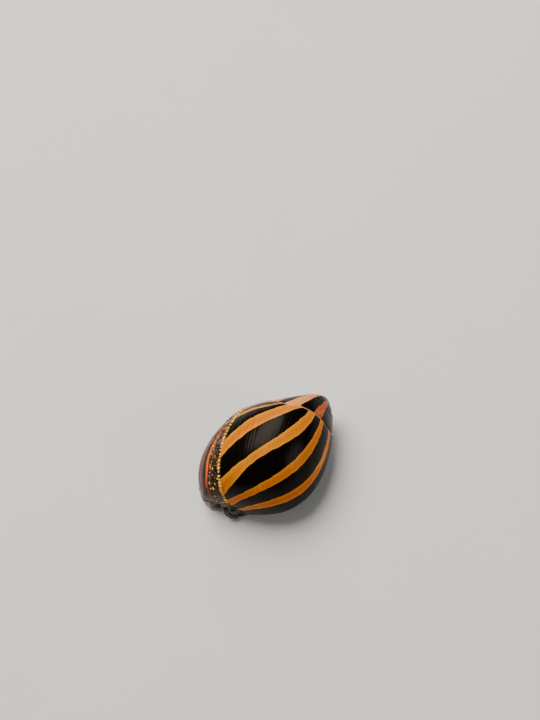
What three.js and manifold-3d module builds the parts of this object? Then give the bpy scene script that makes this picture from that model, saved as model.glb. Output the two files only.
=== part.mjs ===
// A striped nerite snail at rest on a flat floor, life size.
// Millimetres, +Z up. The head looks along -Y, the spire points back along +Y and to the animal's right (-X).
// The floor is z = 0 and the sole lies flat on it.
import * as THREE from "three";
import { mergeVertices } from "three/addons/utils/BufferGeometryUtils.js";
import Module from "manifold-3d";

const wasm = await Module();
wasm.setup();

// Driving sizes of the shell. It is 24.9 long, 17.8 wide and about 14 high.
const APEX = new THREE.Vector3(-4.8, 12.6, 4.95);
const FRONT = new THREE.Vector3(-0.2, -12.2, 3.2);
const LEFT_WIDTH = 6.7;
const RIGHT_WIDTH = 7.7;
const DOME_HEIGHT = 9.45;
const BASE_DEPTH = 5.8;
const MIDLINE_BOW = 2.66;
const MIDLINE_RISE = 0.62;

// The space left between parts that touch in life.
const GAP = 0.3;

// A shallow notch in the rim at the animal's left, over the tentacle.
const NOTCH_PLACE = -9.4;
const NOTCH_RISE = 1.0;
const NOTCH_WIDTH = 1.1;
const PINCH = 0.9;

// How far the old lip stands proud of the shell, and how far the newest shell lies below it.
const RIDGE_RISE = 0.08;
const LIP_DROP = 0.12;

// Heights above the floor of the shell's rim, and of the roof of the hollow under it.
const RIM_SIDE = 1.2;
const RIM_FRONT = 3.0;
const RIM_BACK = 2.1;
const ROOF_BACK = 3.4;
const ROOF_FRONT = 6.0;
const WALL = 1.0;

// The growth lines lie in parallel planes across the shell. GROWTH points back towards the older shell.
const GROWTH = new THREE.Vector3(0.652, 0.689, 0.318).normalize();
const OLD_LIP = -1.85;
const FRESH_LIP = -4.0;

// The suture, as an angle from the apex at each turn about the shell's long axis, in degrees.
const SUTURE_START = 32;
const SUTURE_RISE = 39;
const SUTURE_TURN = 92;
const SUTURE_SPREAD = 20;
const SUTURE_END = 230;
const WHORL_RATIO = 2.2;

// Sizes of the beads on the old lip, and how low on the shell they reach.
// Each row has its place along the growth, its share of the size and its start as a share of the pitch.
const BEAD_SIZE = 0.34;
const BEAD_PITCH = 0.78;
const BEAD_LOWEST = 2.4;
const BEAD_SUNK = 0.42;
const BEAD_ROWS = [
  [OLD_LIP - 0.62, 1.1, 0],
  [OLD_LIP - 1.4, 0.95, 0.5],
  [FRESH_LIP + 0.5, 0.8, 0.1],
];

// Half widths of the foot and the line of its middle, each as pairs of y and size.
const FOOT_WIDTHS = [
  [-12.6, 0], [-12.45, 1.4], [-12.05, 2.5], [-11.2, 3.1], [-9.5, 3.4], [-7.6, 3.8], [-6, 4.4], [-4, 5.2],
  [-1, 6.0], [2, 6.2], [5, 5.5], [7, 4.2], [8.3, 2.7], [9, 1.3], [9.2, 0],
];
const FOOT_MIDDLE = [
  [-12.6, -2.0], [-11.2, -1.8], [-9, -1.2], [-5, -0.8], [1, -0.6], [5, -1.1], [9.2, -2.2],
];
const FOOT_TOP = [
  [-12.6, 0.7], [-8.2, 0.76], [-7.1, 0.9], [-6.2, 3.4], [-5.3, 4.5], [-4, 4.0], [-2.6, 3.25], [-1, 3.0],
  [1.2, 2.8], [2.2, 1.25], [9.2, 0.95],
];

// The head along y, as y, half width, bottom and top.
const HEAD_MIDDLE = -0.8;
const HEAD_SECTIONS = [
  [-11.85, 1.0, 1.35, 1.85], [-11.65, 1.55, 1.15, 2.1], [-11.2, 1.85, 1.08, 2.3], [-10.6, 1.8, 1.1, 2.45],
  [-9.9, 1.65, 1.1, 2.6], [-9.2, 1.8, 1.1, 2.72], [-8.6, 1.95, 1.12, 2.75], [-8.15, 1.8, 1.15, 2.7],
  [-7.95, 1.3, 1.3, 2.5],
];

const ease = (low, high, value) => THREE.MathUtils.smoothstep(value, low, high);

// A repeatable stream of numbers from 0 to 1.
function randomStream(seed) {
  let state = seed;
  return () => {
    state = (state * 1664525 + 1013904223) % 4294967296;
    return state / 4294967296;
  };
}

const toSolid = (geometry) => {
  const bare = geometry.clone();
  for (const name of Object.keys(bare.attributes)) {
    if (name !== "position") bare.deleteAttribute(name);
  }
  const merged = mergeVertices(bare, 1e-4);
  return new wasm.Manifold(
    new wasm.Mesh({
      numProp: 3,
      vertProperties: new Float32Array(merged.attributes.position.array),
      triVerts: new Uint32Array(merged.index.array),
    }),
  );
};

const toGeometry = (solid) => {
  const mesh = solid.getMesh();
  const geometry = new THREE.BufferGeometry();
  const positions = new Float32Array(mesh.numVert * 3);
  for (let i = 0; i < mesh.numVert; i++) {
    for (let k = 0; k < 3; k++) positions[3 * i + k] = mesh.vertProperties[mesh.numProp * i + k];
  }
  geometry.setAttribute("position", new THREE.BufferAttribute(positions, 3));
  geometry.setIndex(new THREE.BufferAttribute(mesh.triVerts, 1));
  geometry.computeVertexNormals();
  return geometry;
};

const largestPiece = (solid) =>
  solid.decompose().reduce((best, piece) => (piece.volume() > best.volume() ? piece : best));

// A closed surface from rings of points, each ring the same length, with a point at either end.
function closedRings(first, rings, last) {
  const points = [first, ...rings.flat(), last];
  const count = rings[0].length;
  const triangles = [];
  const at = (ring, i) => 1 + ring * count + (i % count);
  for (let i = 0; i < count; i++) {
    triangles.push(0, at(0, i + 1), at(0, i));
    triangles.push(points.length - 1, at(rings.length - 1, i), at(rings.length - 1, i + 1));
    for (let ring = 0; ring + 1 < rings.length; ring++) {
      triangles.push(at(ring, i), at(ring, i + 1), at(ring + 1, i + 1));
      triangles.push(at(ring, i), at(ring + 1, i + 1), at(ring + 1, i));
    }
  }
  const geometry = new THREE.BufferGeometry().setFromPoints(points);
  geometry.setIndex(triangles);
  return geometry;
}

const facingOut = (geometry) => {
  const solid = toSolid(geometry);
  if (solid.volume() > 0) return solid;
  const index = geometry.index.array;
  for (let i = 0; i < index.length; i += 3) [index[i], index[i + 1]] = [index[i + 1], index[i]];
  return toSolid(geometry);
};

// The outer surface of the shell: along runs from 0 at the apex to pi at the front.
// Round is 0 at the animal's left, a quarter turn on top and half a turn at its right.
function shellPoint(along, round) {
  const c = Math.cos(along);
  const s = Math.sin(along);
  const c2 = Math.cos(2 * along);
  const middle = APEX.clone().add(FRONT).multiplyScalar(0.5);
  const half = APEX.clone().sub(FRONT).multiplyScalar(0.5);
  const centre = middle.addScaledVector(half, c);
  centre.x += MIDLINE_BOW * s * s * (1 - 0.21 * c);
  centre.z += MIDLINE_RISE * s * s;
  const across = Math.cos(round);
  const up = Math.sin(round);
  const left = LEFT_WIDTH * (1 + 0.42 * c - 0.25 * c2) * s;
  const right = RIGHT_WIDTH * (1 - 0.55 * c - 0.21 * c2) * s;
  const dome = DOME_HEIGHT * (1 + 0.08 * c + 0.02 * c2) * s;
  const base = BASE_DEPTH * (1 + 0.08 * c) * s;
  const width = across > 0 ? left : right;
  const height = up > 0 ? dome : base;
  return new THREE.Vector3(centre.x + across * width, centre.y, centre.z + up * height);
}

function shellNormal(along, round) {
  const step = 1e-3;
  const safe = Math.min(Math.max(along, 0.03), Math.PI - 0.03);
  const a = shellPoint(safe + step, round).sub(shellPoint(safe - step, round));
  const b = shellPoint(safe, round + step).sub(shellPoint(safe, round - step));
  return b.cross(a).normalize();
}

// Angle of the suture from the apex, in degrees.
// The turn is in degrees too and falls below 0 on the early whorls.
function sutureAngle(turn) {
  if (turn < SUTURE_END - 380) {
    const whole = Math.ceil((SUTURE_END - 380 - turn) / 360);
    return sutureAngle(turn + 360 * whole) / WHORL_RATIO ** whole;
  }
  return SUTURE_START + SUTURE_RISE / (1 + Math.exp((SUTURE_TURN - turn) / SUTURE_SPREAD));
}

// How far the surface sinks along the suture of the earlier whorl.
function whorlRelief(along, round) {
  const degrees = THREE.MathUtils.radToDeg(along);
  let turn = THREE.MathUtils.radToDeg(round);
  if (turn > SUTURE_END) turn -= 360;
  const early = 12 + (10 * (turn + 360 - SUTURE_END)) / 360;
  const distance = (degrees - early) / early;
  return 0.28 * Math.exp(-((distance / 0.22) ** 2));
}

// The dent in the left side over the tentacle, taken off x. It fades towards the top of the shell.
function pinchedBy(point, round) {
  const turn = THREE.MathUtils.radToDeg(round);
  const angle = turn > 180 ? turn - 360 : turn;
  const alongSide = Math.exp(-(((point.y - NOTCH_PLACE + 0.3) / 1.7) ** 2));
  const belowTop = (1 - ease(1.5, 6.0, point.z)) * (1 - ease(50, 80, angle)) * ease(-135, -90, angle);
  return PINCH * alongSide * belowTop;
}

// The shell's outer surface moved inwards by a distance, as a closed solid.
function shellSolid(inset, rows, columns, relief = false) {
  const rings = [];
  for (let row = 1; row < rows; row++) {
    const share = row / rows;
    const along = Math.PI * share;
    const ring = [];
    for (let column = 0; column < columns; column++) {
      const round = (2 * Math.PI * column) / columns;
      const depth = inset + (relief ? whorlRelief(along, round) : 0);
      const point = shellPoint(along, round).addScaledVector(shellNormal(along, round), -depth);
      point.x -= pinchedBy(point, round);
      ring.push(point);
    }
    rings.push(ring);
  }
  const axis = APEX.clone().sub(FRONT).normalize();
  const first = APEX.clone().addScaledVector(axis, -inset);
  const last = FRONT.clone().addScaledVector(axis, inset);
  return facingOut(closedRings(first, rings, last));
}

// Everything on the older side of a growth plane.
function olderThan(offset) {
  const size = 80;
  const block = new THREE.BoxGeometry(size, size, size);
  block.translate(0, 0, size / 2 + offset);
  block.applyQuaternion(new THREE.Quaternion().setFromUnitVectors(new THREE.Vector3(0, 0, 1), GROWTH));
  return toSolid(block);
}

// Low at the sides, arched over the head and a little over the tail.
function rimHeight(y) {
  const front = (RIM_FRONT - RIM_SIDE) * (1 - ease(-10.5, -4.5, y));
  const back = (RIM_BACK - RIM_SIDE) * ease(5.5, 9.5, y);
  return RIM_SIDE + front + back;
}

const notchHeight = (y) => rimHeight(y) + NOTCH_RISE * Math.exp(-(((y - NOTCH_PLACE) / NOTCH_WIDTH) ** 2));

function roofHeight(y) {
  return ROOF_BACK + (ROOF_FRONT - ROOF_BACK) * (1 - ease(-6.5, -1.5, y));
}

// A block that fills everything below a height that depends on y, from one x to beyond the animal's left.
function everythingBelow(height, from = -20) {
  const profile = new THREE.Shape();
  const reach = 20;
  const steps = 26;
  profile.moveTo(-reach, -reach);
  profile.lineTo(reach, -reach);
  profile.lineTo(reach, height(reach));
  for (let i = 0; i <= steps; i++) {
    const y = 10 - (21 * i) / steps;
    profile.lineTo(y, height(y));
  }
  profile.lineTo(-reach, height(-reach));
  profile.closePath();
  const block = new THREE.ExtrudeGeometry(profile, { depth: reach - from, bevelEnabled: false, steps: 1 });
  // The profile's x becomes the part's y and the depth runs along x.
  const turn = new THREE.Matrix4().makeBasis(
    new THREE.Vector3(0, 1, 0),
    new THREE.Vector3(0, 0, 1),
    new THREE.Vector3(1, 0, 0),
  );
  block.applyMatrix4(turn);
  block.translate(from, 0, 0);
  return toSolid(block);
}

// A cone from inside the shell over the loop of the suture, with its lid beyond the apex.
function spireMask(grow) {
  const core = shellPoint(THREE.MathUtils.degToRad(72), Math.PI / 2);
  core.z = 4;
  core.y -= grow * 1.2;
  const loop = [];
  const push = (turn, angle) => {
    const surface = shellPoint(THREE.MathUtils.degToRad(angle), THREE.MathUtils.degToRad(turn));
    loop.push(surface.sub(core).multiplyScalar(1.6).add(core));
  };
  const wider = grow * 6;
  const end = SUTURE_END + wider;
  const first = end - 360;
  const steps = 60;
  for (let i = 0; i <= steps; i++) {
    const turn = first + ((end - first) * i) / steps;
    push(turn, sutureAngle(turn) + wider);
  }
  for (let i = 1; i < 6; i++) {
    const share = i / 6;
    push(end + share, THREE.MathUtils.lerp(sutureAngle(end), sutureAngle(first), share) + wider);
  }
  const lid = APEX.clone().sub(core).multiplyScalar(4).add(core);
  return facingOut(closedRings(core, [loop], lid));
}

// Value at y of a list of pairs, eased between them.
function valueAt(pairs, y, column = 1) {
  if (y <= pairs[0][0]) return pairs[0][column];
  for (let i = 1; i < pairs.length; i++) {
    if (y <= pairs[i][0]) {
      const share = (y - pairs[i - 1][0]) / (pairs[i][0] - pairs[i - 1][0]);
      return THREE.MathUtils.lerp(pairs[i - 1][column], pairs[i][column], share);
    }
  }
  return pairs[pairs.length - 1][column];
}

// A round tube through a few points, with a radius at each and rounded ends.
function tube(points, radii, steps = 12, sides = 12) {
  const curve = new THREE.CatmullRomCurve3(points.map((p) => new THREE.Vector3(...p)));
  const last = points.length - 1;
  const radiusAt = (t) => {
    const place = Math.min(t * last, last - 1e-6);
    const i = Math.floor(place);
    return THREE.MathUtils.lerp(radii[i], radii[i + 1], place - i);
  };
  const frames = curve.computeFrenetFrames(steps, false);
  const rings = [];
  const ringAt = (centre, i, radius) => {
    const ring = [];
    for (let k = 0; k < sides; k++) {
      const angle = (2 * Math.PI * k) / sides;
      const offset = frames.normals[i].clone().multiplyScalar(Math.cos(angle) * radius);
      offset.addScaledVector(frames.binormals[i], Math.sin(angle) * radius);
      ring.push(centre.clone().add(offset));
    }
    rings.push(ring);
  };
  const start = curve.getPoint(0);
  const end = curve.getPoint(1);
  const cap = 3;
  for (let i = 1; i < cap; i++) {
    const angle = (Math.PI / 2) * (i / cap);
    const back = Math.cos(angle) * radii[0];
    ringAt(start.clone().addScaledVector(frames.tangents[0], -back), 0, Math.sin(angle) * radii[0]);
  }
  for (let i = 0; i <= steps; i++) ringAt(curve.getPoint(i / steps), i, radiusAt(i / steps));
  for (let i = cap - 1; i > 0; i--) {
    const angle = (Math.PI / 2) * (i / cap);
    const ahead = Math.cos(angle) * radii[last];
    ringAt(end.clone().addScaledVector(frames.tangents[steps], ahead), steps, Math.sin(angle) * radii[last]);
  }
  const first = start.clone().addScaledVector(frames.tangents[0], -radii[0]);
  const tip = end.clone().addScaledVector(frames.tangents[steps], radii[last]);
  return facingOut(closedRings(first, rings, tip));
}

function ball(centre, radius, stretch = [1, 1, 1], detail = 14) {
  const sphere = new THREE.SphereGeometry(radius, detail, Math.round(detail * 0.65));
  sphere.scale(...stretch);
  sphere.translate(...centre);
  return toSolid(sphere);
}

// The shell.
const outside = shellSolid(0, 40, 56, true);
const hollow = shellSolid(WALL, 22, 30).intersect(everythingBelow(roofHeight));
const rim = everythingBelow(rimHeight).add(everythingBelow(notchHeight, 1.5));
const opened = (solid) => solid.subtract(rim).subtract(hollow);
const shell = opened(outside);
const half = GAP / 2;
const spire = largestPiece(shell.intersect(spireMask(-half)).intersect(olderThan(OLD_LIP + half)));
const aroundSpire = shell.subtract(spireMask(half)).subtract(spireMask(-half));
const bodyWhorl = largestPiece(aroundSpire.intersect(olderThan(OLD_LIP + half)));
const proud = opened(shellSolid(-RIDGE_RISE, 40, 56));
const sunk = opened(shellSolid(LIP_DROP, 40, 56));
const sinceOldLip = proud.subtract(olderThan(OLD_LIP - half));
const ridgeBand = largestPiece(sinceOldLip.intersect(olderThan(FRESH_LIP + half)));
const freshLip = largestPiece(sunk.subtract(olderThan(FRESH_LIP - half)));

// Rows of beads along the old lip, where growth once stopped.
const random = randomStream(7);
const growthAt = (along, round) => shellPoint(along, round).dot(GROWTH);
function alongAtGrowth(round, offset) {
  let low = 0.35;
  let high = Math.PI - 0.05;
  for (let i = 0; i < 40; i++) {
    const middle = (low + high) / 2;
    if (growthAt(middle, round) > offset) low = middle;
    else high = middle;
  }
  return (low + high) / 2;
}
const beads = [];
for (const [offset, size, shift] of BEAD_ROWS) {
  let travelled = BEAD_PITCH * shift;
  let previous = null;
  for (let turn = -6; turn < 176; turn += 0.25) {
    const round = THREE.MathUtils.degToRad(turn);
    const along = alongAtGrowth(round, offset);
    const point = shellPoint(along, round);
    if (previous) travelled += point.distanceTo(previous);
    previous = point;
    if (travelled < BEAD_PITCH || point.z < BEAD_LOWEST) continue;
    travelled = (random() - 0.5) * 0.24;
    const radius = BEAD_SIZE * size * (0.85 + 0.35 * random());
    const centre = point.addScaledVector(shellNormal(along, round), RIDGE_RISE - BEAD_SUNK * radius);
    centre.x -= pinchedBy(centre, round);
    beads.push(ball(centre.toArray(), radius, [1, 1, 1], 6));
  }
}
const growthRidge = largestPiece(wasm.Manifold.union([ridgeBand, ...beads]));

// The foot: a flat sole with a thin soft margin, and the body rising into the shell's hollow.
const footRings = [];
const profile = [
  [0.9, 0], [0.97, 0.06], [1, 0.22], [1, 0.42], [0.96, 0.62], [0.86, 0.76], [0.72, 0.9],
];
const FOOT_POINTS = 52;
const FOOT_CENTRE = new THREE.Vector3(-0.9, -1.7, 0);
const FOOT_REACH = 10.9;
function footPoint(angle, scale, z) {
  const y = FOOT_CENTRE.y + FOOT_REACH * Math.sin(angle);
  const middle = valueAt(FOOT_MIDDLE, y);
  const side = Math.cos(angle) >= 0 ? 1 : -1;
  const x = middle + side * valueAt(FOOT_WIDTHS, y);
  const point = new THREE.Vector3(x, y, 0).sub(FOOT_CENTRE).multiplyScalar(scale).add(FOOT_CENTRE);
  point.z = z;
  return point;
}
for (const [scale, z] of profile) {
  const ring = [];
  for (let i = 0; i < FOOT_POINTS; i++) {
    const point = footPoint((2 * Math.PI * (i + 0.5)) / FOOT_POINTS, scale, z);
    if (z > 0.5) point.z = Math.min(z, valueAt(FOOT_TOP, point.y));
    ring.push(point);
  }
  footRings.push(ring);
}
for (const [scale, share] of [[0.64, 0.5], [0.58, 0.86], [0.46, 0.97], [0.3, 1]]) {
  const ring = [];
  for (let i = 0; i < FOOT_POINTS; i++) {
    const point = footPoint((2 * Math.PI * (i + 0.5)) / FOOT_POINTS, scale, 0);
    const low = Math.min(0.9, valueAt(FOOT_TOP, point.y));
    point.z = THREE.MathUtils.lerp(low, valueAt(FOOT_TOP, point.y), share);
    ring.push(point);
  }
  footRings.push(ring);
}
const footCrown = FOOT_CENTRE.clone().setZ(valueAt(FOOT_TOP, FOOT_CENTRE.y));
const foot = facingOut(closedRings(FOOT_CENTRE, footRings, footCrown));

// The head, with a shallow mouth under its blunt front.
const headRings = HEAD_SECTIONS.map(([y, halfWidth, bottom, top]) => {
  const ring = [];
  for (let i = 0; i < 24; i++) {
    const angle = (2 * Math.PI * i) / 24;
    const c = Math.cos(angle);
    const s = Math.sin(angle);
    const x = HEAD_MIDDLE + halfWidth * Math.sign(c) * Math.abs(c) ** 0.8;
    const z = (bottom + top) / 2 + ((top - bottom) / 2) * Math.sign(s) * Math.abs(s) ** 0.85;
    ring.push(new THREE.Vector3(x, y, z));
  }
  return ring;
});
const headFront = new THREE.Vector3(HEAD_MIDDLE, -11.95, 1.6);
const headBack = new THREE.Vector3(HEAD_MIDDLE, -7.85, 1.9);
const mouth = ball([HEAD_MIDDLE, -11.75, 1.42], 0.6, [1.5, 0.35, 0.14]);
const head = largestPiece(facingOut(closedRings(headFront, headRings, headBack)).subtract(mouth));

// Tentacles drawn in and curled back under the lip, each in two lengths.
const LEFT_BASE = [[2.2, -9.75, 2.0], [2.7, -9.9, 2.15], [3.1, -9.95, 1.9], [3.5, -9.85, 1.5]];
const LEFT_TIP = [
  [4.12, -9.1, 0.84], [4.05, -8.5, 0.72], [4.25, -7.5, 0.58], [4.5, -6.4, 0.48], [4.7, -5.7, 0.42],
];
const RIGHT_BASE = [[-3.85, -9.9, 1.9], [-4.4, -10.25, 1.72], [-4.85, -10.2, 1.5], [-5.2, -10.0, 1.28]];
const RIGHT_TIP = [
  [-5.8, -9.15, 0.86], [-5.85, -8.5, 0.74], [-6.05, -7.5, 0.6], [-6.3, -6.4, 0.5], [-6.5, -5.6, 0.44],
];
const BASE_RADII = [0.44, 0.42, 0.38, 0.34];
const TIP_RADII = [0.31, 0.29, 0.26, 0.22, 0.16];
const EYE_RADIUS = 0.3;
const LEFT_EYE = [3.72, -8.95, 2.15];
const RIGHT_EYE = [-5.44, -8.95, 1.7];
const LEFT_STALK = [[2.35, -8.7, 2.1], [2.65, -8.8, 2.15], [2.95, -8.88, 2.15]];
const RIGHT_STALK = [[-4.05, -8.7, 1.95], [-4.4, -8.8, 1.9], [-4.65, -8.88, 1.84]];
const leftStalk = tube(LEFT_STALK, [0.36, 0.33, 0.28], 6);
const rightStalk = tube(RIGHT_STALK, [0.38, 0.35, 0.28], 6);

// The mantle's edge, a soft strip just inside the lip round the front.
const mantlePath = [];
for (let i = 0; i <= 16; i++) {
  const share = i / 16;
  const angle = THREE.MathUtils.lerp(-0.12 * Math.PI, 1.12 * Math.PI, share);
  const x = -1.15 + 3.85 * Math.cos(angle);
  const y = -6.15 - 3.2 * Math.sin(angle);
  mantlePath.push([x, y, rimHeight(y - 1) + 0.75]);
}
const mantle = tube(mantlePath, mantlePath.map((_, i) => (i === 0 || i === 16 ? 0.34 : 0.42)), 34, 10);

// The operculum, a half-round plate lying on the back of the foot.
const plateShape = new THREE.Shape();
plateShape.moveTo(-3.6, 0);
plateShape.bezierCurveTo(-3.9, 3.4, -1.4, 5.0, 0.4, 4.8);
plateShape.bezierCurveTo(2.6, 4.5, 3.5, 2.2, 3.1, 0);
plateShape.bezierCurveTo(1.2, 0.5, -1.6, 0.5, -3.6, 0);
const plate = new THREE.ExtrudeGeometry(plateShape, {
  depth: 0.3,
  bevelThickness: 0.14,
  bevelSize: 0.14,
  bevelSegments: 2,
  curveSegments: 8,
});
plate.scale(0.9, 0.9, 1);
plate.translate(-1.35, 3.35, 1.74);
const operculum = toSolid(plate);

const material = (color, roughness) => new THREE.MeshStandardMaterial({ color, roughness, metalness: 0 });
const BLACK_SHELL = material(0x2a1b12, 0.25);
const RED_SHELL = material(0xc5643c, 0.3);
const RIDGE_SHELL = material(0x4a2f1c, 0.35);
const LIP_SHELL = material(0x5a2a14, 0.25);
const FLESH = material(0x6e6257, 0.45);
const DARK_FLESH = material(0x2c2622, 0.35);
const MANTLE = material(0x3a302a, 0.4);
const HORN = material(0x7a5a48, 0.4);
const EYE = material(0x08080a, 0.1);

// Moves the whole snail a hair so that its box is centred over the origin.
const CENTRE_SHIFT = [0.355, -0.01, 0];
const group = new THREE.Group();
function add(name, solid, look) {
  const mesh = new THREE.Mesh(toGeometry(solid.translate(CENTRE_SHIFT)), look);
  mesh.name = name;
  group.add(mesh);
}
add("shell_spire", spire, RED_SHELL);
add("shell_body_whorl", bodyWhorl, BLACK_SHELL);
add("shell_growth_ridge", growthRidge, RIDGE_SHELL);
add("shell_lip", freshLip, LIP_SHELL);
add("foot", foot, FLESH);
add("head", head, FLESH);
add("mantle_edge", mantle, MANTLE);
add("tentacle_left_base", tube(LEFT_BASE, BASE_RADII), DARK_FLESH);
add("tentacle_left_tip", tube(LEFT_TIP, TIP_RADII), DARK_FLESH);
add("tentacle_right_base", tube(RIGHT_BASE, BASE_RADII), DARK_FLESH);
add("tentacle_right_tip", tube(RIGHT_TIP, TIP_RADII), DARK_FLESH);
add("eyestalk_left", leftStalk, DARK_FLESH);
add("eyestalk_right", rightStalk, DARK_FLESH);
add("eye_left", ball(LEFT_EYE, EYE_RADIUS), EYE);
add("eye_right", ball(RIGHT_EYE, EYE_RADIUS), EYE);
add("operculum", operculum, HORN);

export default group;
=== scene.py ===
import math
import bpy
import bmesh
import numpy as np
from mathutils import Matrix, Vector, noise


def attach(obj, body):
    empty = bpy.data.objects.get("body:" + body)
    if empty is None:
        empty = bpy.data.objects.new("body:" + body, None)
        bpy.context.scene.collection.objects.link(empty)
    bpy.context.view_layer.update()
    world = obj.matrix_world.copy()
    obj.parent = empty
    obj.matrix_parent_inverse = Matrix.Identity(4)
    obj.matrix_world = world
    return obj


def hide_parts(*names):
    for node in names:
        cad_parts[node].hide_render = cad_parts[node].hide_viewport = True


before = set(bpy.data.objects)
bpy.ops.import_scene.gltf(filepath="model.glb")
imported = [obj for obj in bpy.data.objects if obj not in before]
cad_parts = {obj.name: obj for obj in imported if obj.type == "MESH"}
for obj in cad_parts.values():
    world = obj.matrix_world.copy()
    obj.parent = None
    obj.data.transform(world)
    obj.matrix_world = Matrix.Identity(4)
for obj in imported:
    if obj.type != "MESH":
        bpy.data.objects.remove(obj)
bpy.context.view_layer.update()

# Everything is worked out in millimetres and scaled to metres when a mesh is made.
MM = 0.001

# The shell's form, the same as in the solids. The head looks along -Y and the animal's left is +X.
SHIFT = np.array([0.355, -0.01, 0.0])
APEX = np.array([-4.8, 12.6, 4.95])
FRONT = np.array([-0.2, -12.2, 3.2])
MIDDLE = (APEX + FRONT) / 2.0
HALF = (APEX - FRONT) / 2.0
MIDLINE_BOW = 2.66
MIDLINE_LEAN = 0.21
MIDLINE_RISE = 0.62
# Each reach out from the midline is a size in mm, then shares of one and of two waves along the shell.
LEFT_REACH = (6.7, 0.42, -0.25)
RIGHT_REACH = (7.7, -0.55, -0.21)
UP_REACH = (9.45, 0.08, 0.02)
DOWN_REACH = (5.8, 0.08, 0.0)
# The notch in the left rim and the dent above it, where the tentacle comes out.
NOTCH_PLACE = -9.4
NOTCH_RISE = 1.0
NOTCH_WIDTH = 1.1
PINCH = 0.9
PINCH_AHEAD = 0.3
PINCH_LENGTH = 1.7
PINCH_HEIGHTS = (1.5, 6.0)
PINCH_TURNS = (50.0, 80.0)
# Heights of the rim and of the hollow's roof, and the stretches along Y where they change.
RIM_SIDE = 1.2
RIM_FRONT = 3.0
RIM_BACK = 2.1
RIM_FALLS = (-10.5, -4.5)
RIM_CLIMBS = (5.5, 9.5)
ROOF_BACK = 3.4
ROOF_FRONT = 6.0
ROOF_FALLS = (-6.5, -1.5)
# The way the shell grew, and how far along it the old and the fresh lip start.
GROWTH = np.array([0.652, 0.689, 0.318])
GROWTH = GROWTH / np.linalg.norm(GROWTH)
OLD_LIP = -1.85
FRESH_LIP = -3.9
# Humps that bend the growth lines, as height in mm, turn and width, and the growth where they fade.
LIP_BOWS = ((0.42, 74.0, 30.0), (-0.22, 117.0, 20.0))
LIP_BOW_FADE = (-7.6, -5.2)
LIP_SQUEEZE = (0.36, 111.0, 12.0)
LIP_SQUEEZE_FADE = (-2.4, -3.6)
# The suture, as an angle from the apex that grows with the turn round the shell, in degrees.
SUTURE_START = 32.0
SUTURE_RISE = 39.0
SUTURE_TURN = 92.0
SUTURE_SPREAD = 20.0
SUTURE_END = 230.0
WHORL_RATIO = 2.2
# Fine relief of the outside, in mm.
SUTURE_GROOVE = 0.17
SHOULDER = 0.13
SPIRE_DIP = 0.10
EARLY_GROOVE = 0.12
FIRST_GROOVE = 0.06
EARLY_SHOULDER = 0.07
BAND_HEIGHT = 0.08
FRESH_DROP = 0.12
OLD_LIP_GROOVE = 0.10
FLARE = 0.16
# The wall at the rim, how far the edge is rounded and how far the roof is arched, in mm.
WALL = 0.85
EDGE_ROUND = 0.22
ROOF_ARCH = 0.25
# Columns of the shell's mesh round its edge, up the hollow's wall and over its roof.
EDGE_COLUMNS = 7
WALL_COLUMNS = 10
ROOF_COLUMNS = 10
# A repeatable random line has this many knots and starts again a little before its end.
WANDER_KNOTS = 4096
WANDER_LOOP = 4000.0


def ease(low, high, value):
    """A smooth step from 0 at low to 1 at high."""
    t = np.clip((value - low) / (high - low), 0.0, 1.0)
    return t * t * (3.0 - 2.0 * t)


def bell(value, width):
    """A hump that is 1 where the value is 0."""
    return np.exp(-((value / width) ** 2))


def hump(value, form):
    height, place, width = form
    return height * bell(value - place, width)


def midline(along):
    """The line inside the shell from the apex to the front, as x, y and z."""
    c = np.cos(along)
    s = np.sin(along)
    x = MIDDLE[0] + HALF[0] * c + MIDLINE_BOW * s * s * (1.0 - MIDLINE_LEAN * c)
    y = MIDDLE[1] + HALF[1] * c
    z = MIDDLE[2] + HALF[2] * c + MIDLINE_RISE * s * s
    return x, y, z


def breadth(reach, along):
    size, once, twice = reach
    return size * (1.0 + once * np.cos(along) + twice * np.cos(2.0 * along)) * np.sin(along)


def shell_point(along, around):
    """A point of the smooth shell: along from the apex to the front, around from the left over the top."""
    x, y, z = midline(along)
    across = np.cos(around)
    up = np.sin(around)
    wide = np.where(across > 0, breadth(LEFT_REACH, along), breadth(RIGHT_REACH, along))
    high = np.where(up > 0, breadth(UP_REACH, along), breadth(DOWN_REACH, along))
    return np.stack([x + across * wide, y, z + up * high], axis=-1)


def shell_normal(along, around):
    step = 1e-3
    safe = np.clip(along, 0.03, math.pi - 0.03)
    a = shell_point(safe + step, around) - shell_point(safe - step, around)
    b = shell_point(safe, around + step) - shell_point(safe, around - step)
    n = np.cross(b, a)
    return n / np.linalg.norm(n, axis=-1, keepdims=True)


def rim_height(y):
    front = (RIM_FRONT - RIM_SIDE) * (1.0 - ease(*RIM_FALLS, y))
    back = (RIM_BACK - RIM_SIDE) * ease(*RIM_CLIMBS, y)
    return RIM_SIDE + front + back


def notch(y):
    return NOTCH_RISE * bell(y - NOTCH_PLACE, NOTCH_WIDTH)


def pinched(points, turn):
    """The dent in the left side over the tentacle, taken off x."""
    depth = PINCH * bell(points[..., 1] - NOTCH_PLACE + PINCH_AHEAD, PINCH_LENGTH)
    depth = depth * (1.0 - ease(*PINCH_HEIGHTS, points[..., 2]))
    return depth * (1.0 - ease(*PINCH_TURNS, turn))


def lip_bow(turn):
    """How far the growth lines near the lip bow back from a flat plane, in mm."""
    return sum(hump(turn, bow) for bow in LIP_BOWS)


def lip_squeeze(turn, growth):
    """How much narrower the old lip's band is near the top of the shell, in mm."""
    return hump(turn, LIP_SQUEEZE) * ease(*LIP_SQUEEZE_FADE, growth)


def roof_height(y):
    return ROOF_BACK + (ROOF_FRONT - ROOF_BACK) * (1.0 - ease(*ROOF_FALLS, y))


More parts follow.
